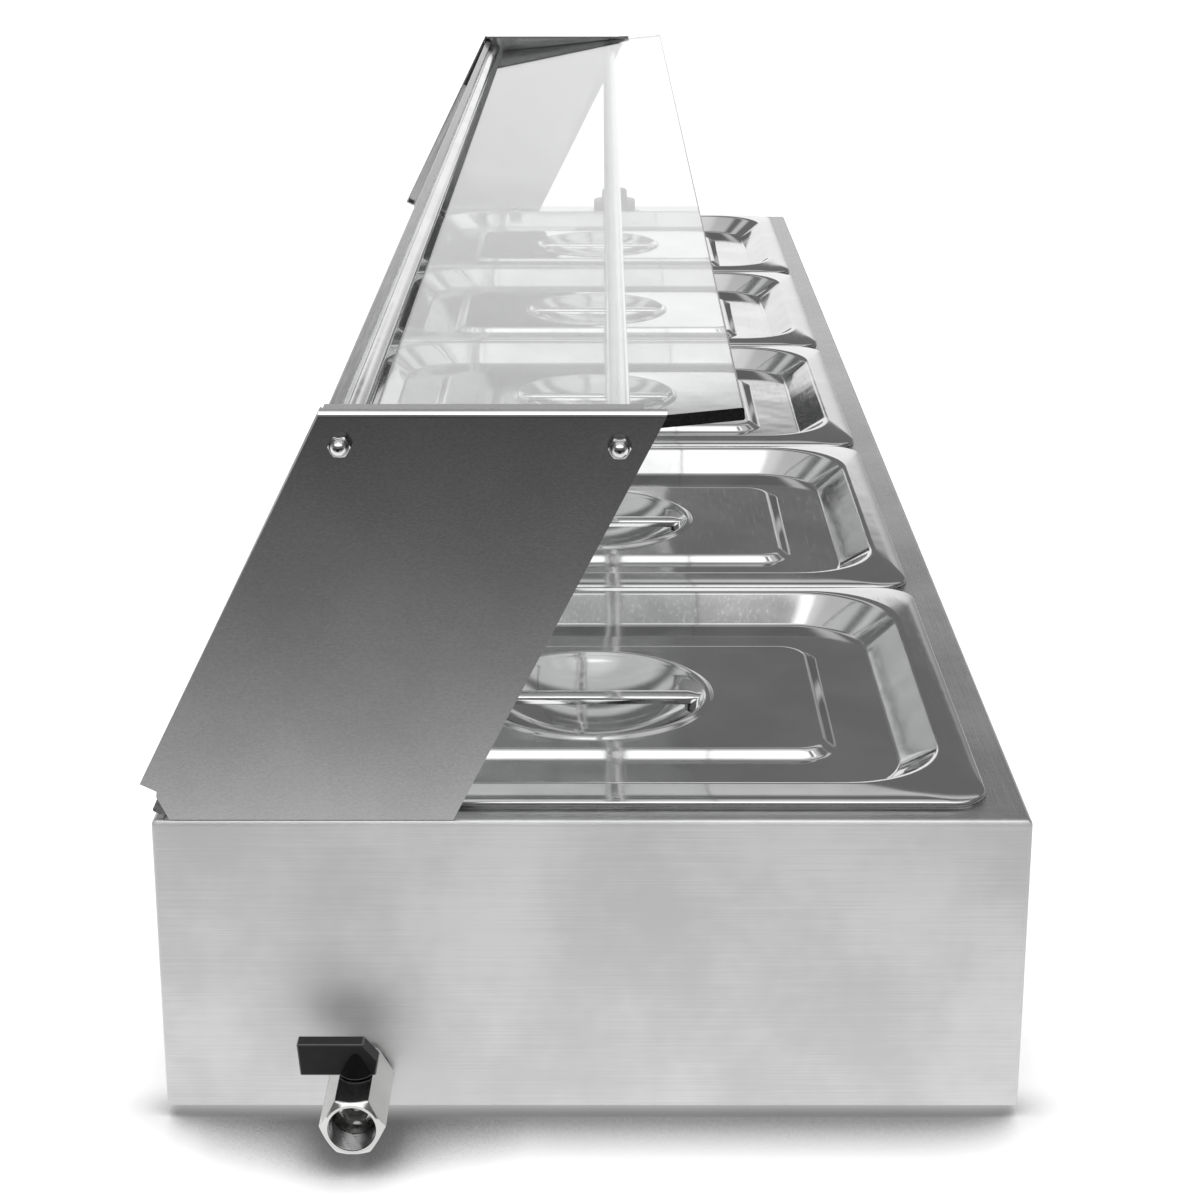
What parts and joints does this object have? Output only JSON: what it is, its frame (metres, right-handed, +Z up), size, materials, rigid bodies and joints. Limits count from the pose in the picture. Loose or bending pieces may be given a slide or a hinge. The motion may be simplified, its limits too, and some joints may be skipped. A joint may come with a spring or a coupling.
{
  "type": "bain marie",
  "caption": "Low counter-top bain marie: long steel water bath with a row of lidded gastronorm pans, sloping glass guard, drain valve and end control box.",
  "frame": {"origin": "middle of the overall footprint, on the table under the rubber feet", "axes": "+X along the length towards the drain valve, -Y towards the customer side with the guard, +Z up"},
  "size_m": [1.524, 0.3587, 0.3059],
  "materials": {
    "brushed_casing": "brushed",
    "tank_steel": "satin",
    "guard_steel": "satin",
    "polished_steel": "polished",
    "pan_steel": "satin",
    "screw_steel": "plain",
    "foot_rubber": "matte",
    "seal_rubber": "matte",
    "element_steel": "satin",
    "fitting_brass": "turned",
    "valve_nickel": "nickel plated",
    "valve_seat": "smooth",
    "black_plastic": "matte",
    "terminal_plastic": "matte",
    "dial_metal": "satin",
    "shaft_steel": "turned",
    "lamp_green": "clear",
    "lamp_orange": "clear",
    "bezel_chrome": "polished",
    "clear_glass": "clear"
  },
  "bodies": {
    "body": {"acorn_nuts": "polished_steel", "base_plate": "brushed_casing", "base_screws": "screw_steel", "cable_gland": "black_plastic", "capillary_gland": "fitting_brass", "casing": "brushed_casing", "control_base": "brushed_casing", "control_box": "brushed_casing", "control_screws": "screw_steel", "cross_bars": "brushed_casing", "dial_plate": "dial_metal", "drain_nipple": "fitting_brass", "element_bushes": "fitting_brass", "element_clips": "element_steel", "element_nuts": "fitting_brass", "front_glass": "clear_glass", "front_rod": "polished_steel", "glass_ledges": "guard_steel", "glass_tapes": "seal_rubber", "guard_panel_control": "guard_steel", "guard_panel_tap": "guard_steel", "guard_screws": "screw_steel", "heating_element": "element_steel", "lamp_bezels": "bezel_chrome", "lamp_heat": "lamp_orange", "lamp_power": "lamp_green", "limit_switch": "black_plastic", "rear_rod": "polished_steel", "rubber_feet": "foot_rubber", "stem_seal": "seal_rubber", "terminal_block": "terminal_plastic", "thermostat_body": "black_plastic", "thermostat_bulb": "element_steel", "top_glass": "clear_glass", "valve_body": "valve_nickel", "valve_retainer": "valve_nickel", "valve_seats": "valve_seat", "valve_washer": "seal_rubber", "water_tank": "tank_steel"},
    "pan_unit_1": {"pan_1": "pan_steel"},
    "lid_unit_1": {"lid_1": "polished_steel", "lid_handle_1": "polished_steel"},
    "pan_unit_2": {"pan_2": "pan_steel"},
    "lid_unit_2": {"lid_2": "polished_steel", "lid_handle_2": "polished_steel"},
    "pan_unit_3": {"pan_3": "pan_steel"},
    "lid_unit_3": {"lid_3": "polished_steel", "lid_handle_3": "polished_steel"},
    "pan_unit_4": {"pan_4": "pan_steel"},
    "lid_unit_4": {"lid_4": "polished_steel", "lid_handle_4": "polished_steel"},
    "pan_unit_5": {"pan_5": "pan_steel"},
    "lid_unit_5": {"lid_5": "polished_steel", "lid_handle_5": "polished_steel"},
    "valve_handle": {"valve_ball": "valve_nickel", "valve_stem": "fitting_brass", "valve_lever": "black_plastic", "lever_set_screw": "screw_steel"},
    "knob_unit": {"thermostat_knob": "black_plastic", "thermostat_shaft": "shaft_steel"}
  },
  "joints": [
    {"name": "pan_1_lift", "type": "slide", "parent": "body", "child": "pan_unit_1", "axis": [0, 0.2974, 0.9548], "range_m": [0, 0.068]},
    {"name": "lid_1_lift", "type": "slide", "parent": "pan_unit_1", "child": "lid_unit_1", "axis": [0, 0.766, 0.6428], "range_m": [0, 0.11]},
    {"name": "pan_2_lift", "type": "slide", "parent": "body", "child": "pan_unit_2", "axis": [0, 0.2974, 0.9548], "range_m": [0, 0.068]},
    {"name": "lid_2_lift", "type": "slide", "parent": "pan_unit_2", "child": "lid_unit_2", "axis": [0, 0.766, 0.6428], "range_m": [0, 0.11]},
    {"name": "pan_3_lift", "type": "slide", "parent": "body", "child": "pan_unit_3", "axis": [0, 0.2974, 0.9548], "range_m": [0, 0.068]},
    {"name": "lid_3_lift", "type": "slide", "parent": "pan_unit_3", "child": "lid_unit_3", "axis": [0, 0.766, 0.6428], "range_m": [0, 0.11]},
    {"name": "pan_4_lift", "type": "slide", "parent": "body", "child": "pan_unit_4", "axis": [0, 0.2974, 0.9548], "range_m": [0, 0.068]},
    {"name": "lid_4_lift", "type": "slide", "parent": "pan_unit_4", "child": "lid_unit_4", "axis": [0, 0.766, 0.6428], "range_m": [0, 0.11]},
    {"name": "pan_5_lift", "type": "slide", "parent": "body", "child": "pan_unit_5", "axis": [0, 0.2974, 0.9548], "range_m": [0, 0.068]},
    {"name": "lid_5_lift", "type": "slide", "parent": "pan_unit_5", "child": "lid_unit_5", "axis": [0, 0.766, 0.6428], "range_m": [0, 0.11]},
    {"name": "valve_turn", "type": "hinge", "parent": "body", "child": "valve_handle", "pos_m": [0.738, -0.0953, 0.04], "axis": [0, 0, 1], "range_deg": [0, 90]},
    {"name": "thermostat_turn", "type": "hinge", "parent": "body", "child": "knob_unit", "pos_m": [-0.697, 0.0166, 0.135], "axis": [0, 0, 1], "range_deg": [-270, 0]}
  ]
}
